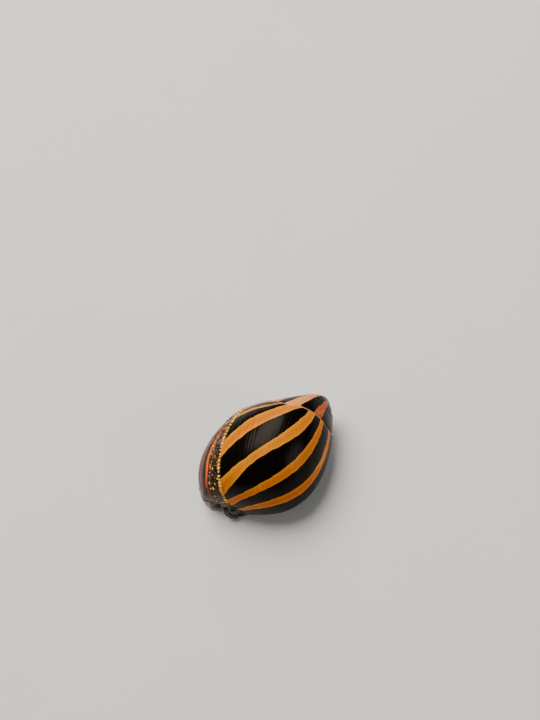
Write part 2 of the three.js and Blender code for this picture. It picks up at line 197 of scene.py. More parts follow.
def suture_angle(turn):
    turn = np.where(turn > SUTURE_END, turn - 360.0, turn)
    return SUTURE_START + SUTURE_RISE / (1.0 + np.exp((SUTURE_TURN - turn) / SUTURE_SPREAD))


def wander(values, seed, spacing):
    """Smooth random values along a line, from -1 to 1."""
    stream = np.random.default_rng(seed)
    knots = stream.uniform(-1.0, 1.0, WANDER_KNOTS)
    place = (values / spacing) % WANDER_LOOP
    low = np.floor(place).astype(int)
    share = ease(0.0, 1.0, place - low)
    return knots[low] * (1.0 - share) + knots[low + 1] * share


# Stripes of the last whorl as middle and half width in degrees round the shell.
# Each is given at the suture, at a third, at two thirds and at the old lip.
STRIPES = [
    ((198, 3), (203.5, 4.2), (206.5, 4.5), (206, 4.5)),
    ((172, 3.6), (182.5, 4.8), (187.5, 5), (187, 5)),
    ((148, 4), (163, 5), (169, 5.3), (168, 5.4)),
    ((129, 3.4), (145, 4.6), (151, 5), (150, 5)),
    ((114, 1), (127.5, 1.9), (133.5, 1.9), (136.5, 1.8)),
    ((93, 10.2), (107.3, 7.6), (110.6, 6.4), (109.5, 6.5)),
    ((68.1, 5.8), (71.5, 5.7), (77, 5.3), (56, 19)),
    ((45, 4.4), (41.5, 5.2), (42.3, 4.5), (18, 7)),
    ((17, 3.9), (12.5, 5.1), (17, 5.3), (-2, 1.2)),
]
# Rays of the spire, as middle and half width in degrees round the shell.
RAYS = [(100.5, 12.5), (57, 9.5), (-8, 7), (138, 10), (174, 11), (212, 9), (-34, 9), (-72, 10)]
# Where the stripes reach the old lip, as the turn and the angle from the apex in degrees.
STRIPE_ENDS = [
    (-40, 120), (10, 135), (30, 139), (53, 138), (75, 135), (90, 132), (110, 122),
    (120, 113.5), (137, 98), (170, 84), (210, 80),
]
SHORTEST_STRIPE = 8.0
NARROWEST_STRIPE = 0.6
# A distance in mm that counts as far outside.
OUTSIDE = -9.0


def nearest_band(bands, turn, mm_round):
    """Signed distance in mm to the nearest band's edge, above 0 inside a band."""
    best = np.full(turn.shape, OUTSIDE)
    for middle, width in bands:
        best = np.maximum(best, (width - np.abs(turn - middle)) * mm_round)
    return best


def stripe_bands(along, around):
    """The middle and half width of each stripe at every point."""
    turn = np.degrees(around)
    start = suture_angle(turn)
    end = np.interp(turn, *zip(*STRIPE_ENDS))
    share = (np.degrees(along) - start) / np.maximum(end - start, SHORTEST_STRIPE)
    t = 3.0 * np.clip(share, 0.0, 1.06)
    # Each weight is 1 at its own station and 0 at the other three.
    weights = (-(t - 1) * (t - 2) * (t - 3) / 6, t * (t - 2) * (t - 3) / 2, -t * (t - 1) * (t - 3) / 2,
               t * (t - 1) * (t - 2) / 6)
    for stations in STRIPES:
        middle, width = (sum(w * value for w, value in zip(weights, values)) for values in zip(*stations))
        yield middle, np.maximum(width, NARROWEST_STRIPE)


def placed(name, data):
    """A new object in the scene."""
    obj = bpy.data.objects.new(name, data)
    bpy.context.scene.collection.objects.link(obj)
    return obj


def add_fields(mesh, fields):
    for key, values in fields.items():
        layer = mesh.attributes.new(key, "FLOAT", "POINT")
        layer.data.foreach_set("value", np.asarray(values, dtype=np.float32).ravel())


def to_object(name, points, faces, fields=None):
    """A mesh object from points in mm and rows of indices, smooth if it has fields for its material."""
    mesh = bpy.data.meshes.new(name)
    mesh.from_pydata((np.asarray(points) * MM).tolist(), [], [tuple(map(int, f)) for f in faces])
    if fields:
        mesh.polygons.foreach_set("use_smooth", [True] * len(mesh.polygons))
        add_fields(mesh, fields)
    mesh.update()
    return placed(name, mesh)


def ring_faces(index, first, last):
    """Quads between rings of indices, closed at both ends by a fan of triangles."""
    nxt = np.roll(index, -1, axis=1)
    faces = np.stack([index[:-1], nxt[:-1], nxt[1:], index[1:]], axis=-1).reshape(-1, 4).tolist()
    faces += [(first, int(b), int(a)) for a, b in zip(index[0], nxt[0])]
    faces += [(last, int(a), int(b)) for a, b in zip(index[-1], nxt[-1])]
    return faces


def shell_relief(growth, turn, suture, early, first):
    """How far the outside stands above its smooth form, in mm."""
    shape = np.where(suture > 0, SHOULDER * (1.0 - np.exp(-np.maximum(suture, 0) / 0.5)),
                     -SPIRE_DIP * np.exp(np.minimum(suture, 0) / 0.7))
    shape -= SUTURE_GROOVE * bell(suture - 0.03, 0.13)
    shape -= EARLY_GROOVE * bell(early, 0.16) + FIRST_GROOVE * bell(first, 0.1)
    shape += EARLY_SHOULDER * bell(early - 0.55, 0.4)
    # The old lip's raised band, and the fresh shell a little lower beyond it.
    band = ease(OLD_LIP + 0.06, OLD_LIP - 0.10, growth) * ease(FRESH_LIP - 0.16, FRESH_LIP + 0.05, growth)
    newer = ease(FRESH_LIP + 0.02, FRESH_LIP - 0.16, growth)
    last = ease(-0.1, 0.15, suture)
    shape += last * (BAND_HEIGHT * band - FRESH_DROP * newer)
    shape -= OLD_LIP_GROOVE * last * bell(growth - OLD_LIP - 0.10, 0.10)
    # Growth lines, fine on the old shell and coarser on the fresh lip.
    lines = wander(growth + 0.05 * np.sin(turn / 9.0), 3, 0.16) * 0.010
    lines += wander(growth, 5, 0.9) * 0.022
    lines += newer * wander(growth, 9, 0.22) * 0.02
    return shape + lines * last * (1.0 - 0.6 * band)


def hollow_columns(y, rim, right_edge, left_edge):
    """Columns of points round the right edge, up the hollow's wall, over its roof and back to the left."""
    span = (left_edge[:, 0] - right_edge[:, 0]) / 2
    thick = np.minimum(WALL, 0.45 * span)
    high = np.minimum(roof_height(y) - rim, 1.1 * span)
    drop = EDGE_ROUND * np.minimum(thick, 0.6) / 0.6
    sides = []
    for side, base in ((1, right_edge), (-1, left_edge)):
        column = []
        for i in range(1, EDGE_COLUMNS + 1):
            s = i / EDGE_COLUMNS
            x = base[:, 0] + side * thick * s
            column.append(np.stack([x, y, base[:, 2] - drop * math.sin(math.pi * s)], axis=-1))
        for i in range(1, WALL_COLUMNS + 1):
            s = i / WALL_COLUMNS
            x = base[:, 0] + side * thick * (1.0 + 0.5 * s ** 3)
            column.append(np.stack([x, y, base[:, 2] + high * s], axis=-1))
        sides.append(np.stack(column, axis=1))
    right = sides[0]
    left = sides[1][:, ::-1]
    over = []
    for i in range(1, ROOF_COLUMNS):
        s = i / ROOF_COLUMNS
        q = right[:, -1] * (1 - s) + left[:, 0] * s
        q[:, 2] += ROOF_ARCH * np.minimum(span, 1.0) * math.sin(math.pi * s)
        over.append(q)
    return np.concatenate([right, np.stack(over, axis=1), left[:, :-1]], axis=1)


def build_shell():
    """The whole shell as rows from the apex to the front, each a loop over the outside and the hollow."""
    rows = 430
    outer = 660
    along = math.pi * ((np.arange(rows) + 0.5) / rows)
    _, y, centre_z = midline(along)
    rim = rim_height(y)
    depth = breadth(DOWN_REACH, along)
    low_left = np.arcsin(np.clip((rim + notch(y) - centre_z) / depth, -1.0, 0.0))
    low_right = np.arcsin(np.clip((rim - centre_z) / depth, -1.0, 0.0))
    share = np.linspace(0.0, 1.0, outer)
    grid_along = np.repeat(along[:, None], outer, axis=1)
    grid_round = low_left[:, None] + (math.pi - low_right - low_left)[:, None] * share[None, :]
    p = shell_point(grid_along, grid_round)
    n = shell_normal(grid_along, grid_round)
    step = 2e-3
    mm_along = np.linalg.norm(shell_point(grid_along + step, grid_round) - p, axis=-1) / math.degrees(step)
    mm_round = np.linalg.norm(shell_point(grid_along, grid_round + step) - p, axis=-1) / math.degrees(step)
    turn = np.degrees(grid_round)
    angle = np.degrees(grid_along)
    growth = p @ GROWTH
    growth = growth - lip_bow(turn) * ease(*LIP_BOW_FADE, growth)
    growth = growth - lip_squeeze(turn, growth)

    # Distance in mm from the suture, above 0 on the last whorl, and from the earlier ones.
    main = suture_angle(turn)
    slope = (suture_angle(turn + 1.0) - suture_angle(turn - 1.0)) / 2.0
    steep = np.sqrt(1.0 + (slope * mm_along / np.maximum(mm_round, 0.01)) ** 2)
    suture = (angle - main) * mm_along / steep
    early = (angle - main / WHORL_RATIO) * mm_along
    first = (angle - main / WHORL_RATIO ** 2) * mm_along

    # The lip flares a hair at its very edge.
    above = p[..., 2] - rim[:, None] - np.where(turn < 90.0, notch(y)[:, None], 0.0)
    opened = np.clip((math.pi / 2 + low_right) / 0.5, 0, 1)[:, None]
    shape = shell_relief(growth, turn, suture, early, first) + FLARE * np.exp(-above / 0.35) * opened
    p = p + n * shape[..., None]
    p[..., 0] -= pinched(p, turn)
    inner = hollow_columns(y, rim, p[:, -1], p[:, 0])
    loop = np.concatenate([p, inner], axis=1)
    count = loop.shape[1]
    hidden = count - outer

    def pad(values, fill):
        return np.concatenate([values, np.full((rows, hidden), fill)], axis=1)

    from_edge = np.minimum(np.arange(hidden), np.arange(hidden)[::-1]).astype(float)
    fade = np.repeat(ease(1, EDGE_COLUMNS + 4, from_edge)[None, :], rows, axis=0)
    stripes = nearest_band(stripe_bands(grid_along, grid_round), turn, mm_round)
    # Each field's values over the rows, then at the two poles.
    fields = {
        "stripe": (pad(stripes, -2.0), (-1.0, -1.0)),
        "ray": (pad(nearest_band(RAYS, turn, mm_round), -2.0), (1.0, -1.0)),
        "growth": (np.concatenate([growth, inner @ GROWTH], axis=1), (7.0, -7.4)),
        "suture": (pad(suture, 5.0), (-4.0, 6.0)),
        "early": (pad(early, 5.0), (-1.0, 6.0)),
        "turn": (pad(turn, 0.0), (90.0, 90.0)),
        "rim": (pad(np.where((opened > 0.05) | (angle > 150.0), above, 3.0), 0.0), (3.0, 0.1)),
        "inside": (np.concatenate([np.zeros((rows, outer)), fade], axis=1), (0.0, 0.0)),
    }
    attributes = {name: np.concatenate([values.ravel(), ends]) for name, (values, ends) in fields.items()}
    poles = [loop[0, :outer].mean(axis=0) + SHIFT, loop[-1, :outer].mean(axis=0) + SHIFT]
    points = np.vstack([loop.reshape(-1, 3) + SHIFT, *poles])
    index = np.arange(rows * count).reshape(rows, count)
    return to_object("shell", points, ring_faces(index, rows * count, rows * count + 1), attributes)


def along_at_growth(around, offset):
    """Where a growth line crosses each turn, found by halving."""
    turn = np.degrees(around)
    offset = offset + lip_bow(turn) + lip_squeeze(turn, offset)
    low = np.full(around.shape, 0.35)
    high = np.full(around.shape, math.pi - 0.05)
    for _ in range(40):
        middle = (low + high) / 2
        above = shell_point(middle, around) @ GROWTH > offset
        low = np.where(above, middle, low)
        high = np.where(above, high, middle)
    return (low + high) / 2


# Rows of beads, as the offset from the old lip, pitch and radius in mm, and the share of dark ones.
BEAD_ROWS = [
    (-0.10, 0.56, 0.25, 0.0), (-0.52, 0.50, 0.21, 0.72), (-0.92, 0.54, 0.24, 0.85), (-1.34, 0.48, 0.20, 0.78),
    (-1.72, 0.54, 0.23, 0.85), (-2.10, 0.46, 0.18, 0.8), (-2.38, 0.42, 0.13, 0.7),
]
BEAD_TURNS = np.radians(np.arange(-30.0, 200.0, 0.2))
# The golden row stops short of this turn, and no bead lies nearer to the rim than the margin in mm.
BEAD_END = math.radians(20.0)
BEAD_MARGIN = 0.15
# Ranges of the pace along a row, size, length of a golden and of a dark bead, and flatness, as shares.
BEAD_PACE = (0.82, 1.25)
BEAD_SIZES = (0.72, 1.22)
GOLDEN_LENGTHS = (0.9, 1.35)
DARK_LENGTHS = (0.85, 1.2)
BEAD_FLATNESS = (0.75, 0.95)


def bead_shade(stream, darkness):
    """How golden a bead is, from 0 for black to 1."""
    if darkness == 0:
        return stream.uniform(0.75, 1.0)
    pick = stream.uniform()
    return stream.uniform(0.0, 0.22) if pick < darkness else stream.uniform(0.5, 1.0)


def run_along(path):
    """How far along a path each of its points is."""
    return np.concatenate([[0.0], np.cumsum(np.linalg.norm(np.diff(path, axis=0), axis=1))])


def build_beads():
    """Rows of beads along the old lip: a golden row at its edge, then darker grains."""
    stream = np.random.default_rng(11)
    source = bmesh.new()
    bmesh.ops.create_icosphere(source, subdivisions=3, radius=1.0)
    unit = np.array([v.co[:] for v in source.verts])
    # The beads are laid out in a left-handed frame, so their faces are turned over.
    triangles = np.array([[v.index for v in f.verts] for f in source.faces])[:, ::-1]
    source.free()
    points = []
    faces = []
    tint = []
    for offset, pitch, size, darkness in BEAD_ROWS:
        golden = darkness == 0
        run = run_along(shell_point(along_at_growth(BEAD_TURNS, OLD_LIP + offset), BEAD_TURNS))
        place = stream.uniform(0, pitch)
        while place < run[-1]:
            turn = np.interp(place, run, BEAD_TURNS)
            place += pitch * stream.uniform(*BEAD_PACE)
            jitter = stream.normal(0, 0.02 if golden else 0.10)
            where = along_at_growth(np.array([turn]), OLD_LIP + offset + jitter)
            centre = shell_point(where, np.array([turn]))[0]
            low = float(rim_height(centre[1])) + (float(notch(centre[1])) if turn < math.pi / 2 else 0.0)
            if centre[2] < low + BEAD_MARGIN or (golden and turn < BEAD_END):
                continue
            normal = shell_normal(where, np.array([turn]))[0]
            side = np.cross(normal, GROWTH)
            side /= np.linalg.norm(side)
            ahead = np.cross(side, normal)
            radius = size * stream.uniform(*BEAD_SIZES)
            long = stream.uniform(*(GOLDEN_LENGTHS if golden else DARK_LENGTHS))
            flat = stream.uniform(*BEAD_FLATNESS)
            lump = 1.0 + 0.10 * np.sin(unit[:, 0] * 3 + place) * np.cos(unit[:, 1] * 4 + turn * 9)
            shaped = unit * radius * lump[:, None]
            world = shaped[:, :1] * side * long + shaped[:, 1:2] * ahead + shaped[:, 2:3] * normal * flat
            world = world + centre + normal * (0.07 + 0.12 * radius)
            world[:, 0] -= float(pinched(centre, math.degrees(turn)))
            faces.append(triangles + len(points) * len(unit))
            points.append(world)
            tint.append(np.full(len(unit), bead_shade(stream, darkness)))
    fields = {"tint": np.concatenate(tint)}
    return to_object("ridge_beads", np.vstack(points) + SHIFT, np.vstack(faces), fields)


# The soft body, with the same named sizes as the solids.
FOOT_WIDTHS = [
    (-12.6, 0), (-12.45, 1.4), (-12.05, 2.5), (-11.2, 3.1), (-9.5, 3.4), (-7.6, 3.8), (-6, 4.4), (-4, 5.2),
    (-1, 6.0), (2, 6.2), (5, 5.5), (7, 4.2), (8.3, 2.7), (9, 1.3), (9.2, 0),
]
FOOT_MIDDLE = [(-12.6, -2.0), (-11.2, -1.8), (-9, -1.2), (-5, -0.8), (1, -0.6), (5, -1.1), (9.2, -2.2)]
FOOT_TOP = [
    (-12.6, 0.7), (-8.2, 0.76), (-7.1, 0.9), (-6.2, 3.4), (-5.3, 4.5), (-4, 4.0), (-2.6, 3.25), (-1, 3.0),
    (1.2, 2.8), (2.2, 1.25), (9.2, 0.95),
]
HEAD_MIDDLE = -0.8
HEAD_SECTIONS = [
    (-11.85, 1.0, 1.35, 1.85), (-11.65, 1.55, 1.15, 2.1), (-11.2, 1.85, 1.08, 2.3), (-10.6, 1.8, 1.1, 2.45),
    (-9.9, 1.65, 1.1, 2.6), (-9.2, 1.8, 1.1, 2.72), (-8.6, 1.95, 1.12, 2.75), (-7.6, 1.6, 1.2, 2.9),
    (-6.6, 1.4, 1.5, 3.2), (-6.0, 1.2, 1.8, 3.3),
]
LEFT_TENTACLE = [
    (0.8, -9.6, 1.95), (2.2, -9.75, 2.0), (2.7, -9.9, 2.15), (3.1, -9.95, 1.9), (3.5, -9.85, 1.5),
    (4.12, -9.1, 0.84), (4.05, -8.5, 0.72), (4.25, -7.5, 0.58), (4.5, -6.4, 0.48), (4.7, -5.7, 0.42),
]
RIGHT_TENTACLE = [
    (-2.4, -9.7, 1.95), (-3.85, -9.9, 1.9), (-4.4, -10.25, 1.72), (-4.85, -10.2, 1.5), (-5.2, -10.0, 1.28),
    (-5.8, -9.15, 0.86), (-5.85, -8.5, 0.74), (-6.05, -7.5, 0.6), (-6.3, -6.4, 0.5), (-6.5, -5.6, 0.44),
]
TENTACLE_RADII = [0.5, 0.45, 0.42, 0.39, 0.36, 0.32, 0.29, 0.25, 0.2, 0.13]
LEFT_STALK = [(0.8, -8.75, 1.95), (2.35, -8.7, 2.1), (2.95, -8.86, 2.15), (3.54, -8.93, 2.15)]
RIGHT_STALK = [(-2.4, -8.75, 1.95), (-3.9, -8.72, 1.95), (-4.65, -8.9, 1.84), (-5.26, -8.98, 1.73)]
STALK_RADII = [0.46, 0.40, 0.34, 0.33]
# Each limb with its radii, the rings of its tube and the points from which distances to it are taken.
LIMBS = (
    (LEFT_TENTACLE, TENTACLE_RADII, 70, 240), (RIGHT_TENTACLE, TENTACLE_RADII, 70, 240),
    (LEFT_STALK, STALK_RADII, 24, 80), (RIGHT_STALK, STALK_RADII, 24, 80),
)
LEFT_EYE = (3.72, -8.95, 2.15)
RIGHT_EYE = (-5.44, -8.95, 1.7)
EYE_RADIUS = 0.3
FOOT_CENTRE = np.array([-0.9, -1.7, 0.0])
FOOT_HALF_LENGTH = 10.9
# Rings of the foot from the sole up, as the share of the outline and the height in mm.
FOOT_RINGS = [
    (0.3, 0), (0.6, 0), (0.8, 0), (0.9, 0), (0.97, 0.05), (1.0, 0.2), (1.0, 0.38), (0.985, 0.52),
    (0.96, 0.62), (0.86, 0.76), (0.72, 0.9),
]
# Rings from there up to the crown, as the share of the outline and of the climb.
CROWN_RINGS = [(0.68, 0.25), (0.64, 0.5), (0.61, 0.72), (0.58, 0.86), (0.52, 0.94), (0.46, 0.97), (0.3, 1)]
CROWN_BASE = 0.9
# The mantle edge is a tube along an arc inside the lip, with these two ends.
MANTLE_START = (3.0, -5.2, 2.9)
MANTLE_END = (-4.2, -5.2, 2.9)
MANTLE_MIDDLE = (-1.15, -6.15)
MANTLE_REACH = (3.85, 3.2)
MANTLE_POINTS = 17
MANTLE_LIFT = 0.75
# The mouth's height, how far its line droops to the sides and how deep it is, in mm.
MOUTH_HEIGHT = 1.46
MOUTH_DROOP = 0.16
MOUTH_DEPTH = 0.26
SKIN_VOXEL = 0.075


def smooth_curve(pairs, values):
    """A table's values at the places asked for, with its corners rounded off."""
    xs, ys = np.array(pairs, dtype=float).T
    fine = np.linspace(xs[0], xs[-1], 600)
    table = np.interp(fine, xs, ys)
    width = 13
    kernel = np.hanning(width + 2)[1:-1]
    kernel /= kernel.sum()
    padded = np.concatenate([np.full(width // 2, table[0]), table, np.full(width // 2, table[-1])])
    return np.interp(values, fine, np.convolve(padded, kernel, mode="valid"))


def closed_rings(first, rings, last):
    count = rings.shape[1]
    points = np.vstack([first, rings.reshape(-1, 3), last])
    index = 1 + np.arange(rings.shape[0] * count).reshape(rings.shape[0], count)
    return points, ring_faces(index, 0, len(points) - 1)


def spline(points, count):
    """Points along a smooth curve through the given ones."""
    points = np.asarray(points, dtype=float)
    padded = np.vstack([2 * points[0] - points[1], points, 2 * points[-1] - points[-2]])
    out = []
    for value in np.linspace(0, len(points) - 1 - 1e-6, count):
        i = int(value)
        t = value - i
        a, b, c, d = padded[i:i + 4]
        square = (2 * a - 5 * b + 4 * c - d) * t * t
        cube = (3 * b - a - 3 * c + d) * t ** 3
        out.append(0.5 * (2 * b + (c - a) * t + square + cube))
    return np.array(out)


def tube(points, radii, steps, sides=20):
    """A closed tube along a spline, with rounded ends."""
    path = spline(points, steps)
    size = np.interp(np.linspace(0, len(radii) - 1, steps), np.arange(len(radii)), radii)
    tangents = np.gradient(path, axis=0)
    tangents /= np.linalg.norm(tangents, axis=1, keepdims=True)
    normal = np.cross(tangents[0], [0.0, 0.0, 1.0])
    rings = []
    turns = np.linspace(0, 2 * math.pi, sides, endpoint=False)

    def ring(centre, tangent, radius):
        nonlocal normal
        normal = normal - tangent * np.dot(normal, tangent)
        normal = normal / np.linalg.norm(normal)
        other = np.cross(tangent, normal)
        rings.append(centre + radius * (np.cos(turns)[:, None] * normal + np.sin(turns)[:, None] * other))

    for k in (0.35, 0.7, 0.92):
        ring(path[0] - tangents[0] * size[0] * math.sqrt(1 - k * k), tangents[0], size[0] * k)
    for i in range(steps):
        ring(path[i], tangents[i], size[i])
    for k in (0.92, 0.7, 0.35):
        ring(path[-1] + tangents[-1] * size[-1] * math.sqrt(1 - k * k), tangents[-1], size[-1] * k)
    return closed_rings(path[0] - tangents[0] * size[0], np.array(rings), path[-1] + tangents[-1] * size[-1])


def foot_piece():
    """The foot: a flat sole with a rippled edge, thin sides and a crown that goes up into the shell."""
    count = 240
    angles = 2 * math.pi * (np.arange(count) + 0.5) / count
    y = FOOT_CENTRE[1] + FOOT_HALF_LENGTH * np.sin(angles)
    ripple = 0.05 * wander(angles * 20, 21, 1.6) + 0.03 * wander(angles * 20, 22, 0.5)
    x = smooth_curve(FOOT_MIDDLE, y) + np.sign(np.cos(angles)) * smooth_curve(FOOT_WIDTHS, y)
    rim = np.stack([x, y, 0 * x], axis=-1) - FOOT_CENTRE
    rings = []
    for scale, z in FOOT_RINGS:
        ring = FOOT_CENTRE + rim * (scale + (ripple[:, None] * 0.12 if scale > 0.93 else 0))
        top = smooth_curve(FOOT_TOP, ring[:, 1])
        ring[:, 2] = np.minimum(z, top) if z > 0.5 else z
        rings.append(ring)
    for scale, share in CROWN_RINGS:
        ring = FOOT_CENTRE + rim * scale
        top = smooth_curve(FOOT_TOP, ring[:, 1])
        base = np.minimum(CROWN_BASE, top)
        ring[:, 2] = base + (top - base) * share
        rings.append(ring)
    crown = np.array([0, 0, float(smooth_curve(FOOT_TOP, FOOT_CENTRE[1]))])
    return closed_rings(FOOT_CENTRE, np.array(rings), FOOT_CENTRE + crown)


def head_piece():
    """The head and snout, as rounded sections from the front to the neck."""
    ys, halves, lows, tops = np.array(HEAD_SECTIONS).T
    turns = np.linspace(0, 2 * math.pi, 48, endpoint=False)
    c = np.cos(turns)
    s = np.sin(turns)
    rings = []
    for y in np.linspace(ys[0], ys[-1], 40):
        low = np.interp(y, ys, lows)
        top = np.interp(y, ys, tops)
        x = HEAD_MIDDLE + np.interp(y, ys, halves) * np.sign(c) * np.abs(c) ** 0.8
        z = (low + top) / 2 + (top - low) / 2 * np.sign(s) * np.abs(s) ** 0.85
        rings.append(np.stack([x, np.full_like(x, y), z], axis=-1))
    front = np.array([HEAD_MIDDLE, -11.95, 1.6])
    return closed_rings(front, np.array(rings), np.array([HEAD_MIDDLE, -5.9, 2.5]))


def mantle_piece():
    path = [MANTLE_START]
    for i in range(MANTLE_POINTS):
        angle = (-0.12 + 1.24 * i / (MANTLE_POINTS - 1)) * math.pi
        x = MANTLE_MIDDLE[0] + MANTLE_REACH[0] * math.cos(angle)
        y = MANTLE_MIDDLE[1] - MANTLE_REACH[1] * math.sin(angle)
        path.append((x, y, float(rim_height(y - 1)) + MANTLE_LIFT))
    path.append(MANTLE_END)
    radii = [0.5] + [0.42] * MANTLE_POINTS + [0.5]
    return tube(path, radii, 120, 16)


def nearest_on_path(points, path):
    """How far each point is from a path, and how far along the path that is."""
    best = np.full(len(points), 99.0)
    run = np.zeros(len(points))
    for q, length in zip(path, run_along(path)):
        far = np.linalg.norm(points - q, axis=1)
        run = np.where(far < best, length, run)
        best = np.minimum(best, far)
    return best, run


def joined_body():
    """The soft parts run together into one closed skin, still in mm and without its fine relief."""
    pieces = [foot_piece(), head_piece(), mantle_piece()]
    pieces += [tube(path, radii, rings) for path, radii, rings, _ in LIMBS]
    points = []
    faces = []
    base = 0
    for piece_points, piece_faces in pieces:
        points.append(piece_points)
        faces += [tuple(int(i) + base for i in f) for f in piece_faces]
        base += len(piece_points)
    mesh = bpy.data.meshes.new("skin")
    mesh.from_pydata(np.vstack(points).tolist(), [], faces)
    edit_mesh(mesh, face_outward)
    obj = placed("skin", mesh)
    remesh = obj.modifiers.new("remesh", "REMESH")
    remesh.mode = "VOXEL"
    remesh.voxel_size = SKIN_VOXEL
    soften = obj.modifiers.new("soften", "SMOOTH")
    soften.factor = 0.5
    soften.iterations = 5
    bpy.context.view_layer.update()
    result = bpy.data.meshes.new_from_object(obj.evaluated_get(bpy.context.evaluated_depsgraph_get()))
    bpy.data.objects.remove(obj)
    edit_mesh(result, keep_largest)
    return result


def vertex_values(mesh, name):
    flat = np.empty(len(mesh.vertices) * 3)
    mesh.vertices.foreach_get(name, flat)
    return flat.reshape(-1, 3)


def build_skin():
    """One skin over the foot, head, mantle edge, tentacles and eyestalks."""
    result = joined_body()
    p = vertex_values(result, "co")
    n = vertex_values(result, "normal")
    reach = np.full(len(p), 99.0)
    run = np.zeros(len(p))
    for path, _, _, steps in LIMBS:
        far, length = nearest_on_path(p, spline(path[1:], steps))
        run = np.where(far < reach, length, run)
        reach = np.minimum(reach, far)
    dark = 1.0 - ease(0.4, 0.75, reach)
    head = ease(-7.2, -8.2, p[:, 1]) * ease(0.85, 1.05, p[:, 2]) * ease(3.0, 2.7, p[:, 2])
    edge = ease(0.9, 0.6, p[:, 2])
    sole = ease(0.06, 0.02, p[:, 2])
    rough = np.array([noise.noise(Vector(q) * 2.6) for q in p])
    grain = np.array([noise.noise(Vector(q) * 7.0 + Vector((9, 3, 5))) for q in p])
    amount = 0.035 * head + 0.02 * edge + 0.02
    lift = amount * rough + 0.5 * amount * grain
    lift += head * 0.03 * np.maximum(grain, 0.0) * 2.0
    # The mouth is a shallow crossways slit under the snout, with a lip round it.
    aside = p[:, 0] - HEAD_MIDDLE
    gap = p[:, 2] - (MOUTH_HEIGHT - MOUTH_DROOP * (aside / 0.9) ** 2)
    near = ease(-11.3, -11.55, p[:, 1]) * ease(1.0, 0.7, np.abs(aside))
    lips = near * bell(np.abs(gap) - 0.22, 0.10)
    spoke = np.arctan2(gap * 2.0, aside)
    lift += -MOUTH_DEPTH * near * bell(gap, 0.085) + lips * (0.08 + 0.02 * np.cos(22.0 * spoke))
    lift *= 1.0 - sole
    p = p + n * lift[:, None]
    p[:, 2] = np.where(p[:, 2] < 0.03, 0.0, p[:, 2])
    p = (p + SHIFT) * MM
    result.vertices.foreach_set("co", p.ravel())
    # This field marks where painted shade darkens the mouth's dent.
    slit_shade = near * bell(gap, 0.12)
    looks = {"dark": dark, "head": head, "edge": edge, "sole": sole, "slit_shade": slit_shade, "lips": lips, "run": run}
    add_fields(result, looks)
    result.polygons.foreach_set("use_smooth", [True] * len(result.polygons))
    result.update()
    return placed("skin", result)


def keep_largest(bm):
    """Deletes every separate part but the one with the most points."""
    bm.verts.ensure_lookup_table()
    seen = set()
    groups = []
    for vert in bm.verts:
        if vert.index in seen:
            continue
        stack = [vert]
        seen.add(vert.index)
        group = []
        while stack:
            v = stack.pop()
            group.append(v)
            for e in v.link_edges:
                w = e.other_vert(v)
                if w.index not in seen:
                    seen.add(w.index)
                    stack.append(w)
        groups.append(group)
    groups.sort(key=len)
    for group in groups[:-1]:
        bmesh.ops.delete(bm, geom=group, context="VERTS")


def face_outward(bm):
    bmesh.ops.recalc_face_normals(bm, faces=bm.faces)


def edit_mesh(mesh, change):
    bm = bmesh.new()
    bm.from_mesh(mesh)
    change(bm)
    bm.to_mesh(mesh)
    bm.free()


def build_eye(name, centre, facing):
    """An eye as a turned form: a ball with a low bulge in front and a sunk rim."""
    sides = 64
    turn = Vector(facing).normalized().to_track_quat("Z", "Y").to_matrix()
    angles = [2 * math.pi * k / sides for k in range(sides)]
    steps = [math.pi * i / 48 for i in range(49)]
    rings = []
    for t in steps:
        bulge = 0.05 * math.exp(-((t / 0.45) ** 2))
        groove = 0.035 * math.exp(-(((t - 0.72) / 0.14) ** 2))
        radius = EYE_RADIUS * (1.0 + bulge - groove)
        out = radius * math.sin(t)
        high = radius * math.cos(t)
        ring = [turn @ Vector((out * math.cos(a), out * math.sin(a), high)) for a in angles]
        rings.append(np.array(ring) + centre)
    points, faces = closed_rings(rings[0][0], np.array(rings[1:-1]), rings[-1][0])
    polar = np.concatenate([steps[:1], np.repeat(steps[1:-1], sides), steps[-1:]])
    obj = to_object(name, points + SHIFT, faces, {"polar": polar})
    edit_mesh(obj.data, face_outward)
    return obj


